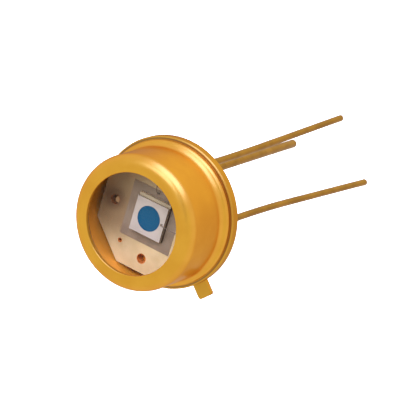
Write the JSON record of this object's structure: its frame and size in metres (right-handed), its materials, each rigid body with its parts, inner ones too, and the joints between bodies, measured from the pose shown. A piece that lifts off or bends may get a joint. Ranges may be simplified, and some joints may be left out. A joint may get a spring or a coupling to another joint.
{
  "type": "photodiode",
  "caption": "Photodiode in a low gold-plated can: a flat round glass window over a square chip with a blue light-sensing disc, a locating tab and solder leads.",
  "frame": {"origin": "centre of the header's underside, which is the seating plane", "axes": "+Z along the optical axis towards the window, leads towards -Z; +X from the axis towards lead 1, +Y towards lead 2"},
  "size_m": [0.0092, 0.0092, 0.0246],
  "materials": {
    "gold_plate": "satin gold plate",
    "lead_gold": "dull gold plate",
    "window_glass": "clear polished",
    "seal_glass": "fused",
    "braze": "dull",
    "ceramic": "unglazed ceramic",
    "pad_metal": "dull plated",
    "silicon": "sawn edges",
    "contact_metal": "satin",
    "active_blue": "anti-reflection coating"
  },
  "bodies": {
    "root": {"header": "gold_plate", "cap": "gold_plate", "window": "window_glass", "window_seal": "seal_glass", "lead_1": "lead_gold", "lead_2": "lead_gold", "case_lead": "lead_gold", "bead_1": "seal_glass", "bead_2": "seal_glass", "case_braze": "braze", "ceramic_plate": "ceramic", "bond_pad": "pad_metal", "chip_carrier": "ceramic", "die": "silicon", "contact_frame": "contact_metal", "active_area": "active_blue", "bond_wire_1": "contact_metal", "bond_wire_2": "contact_metal"}
  },
  "joints": []
}
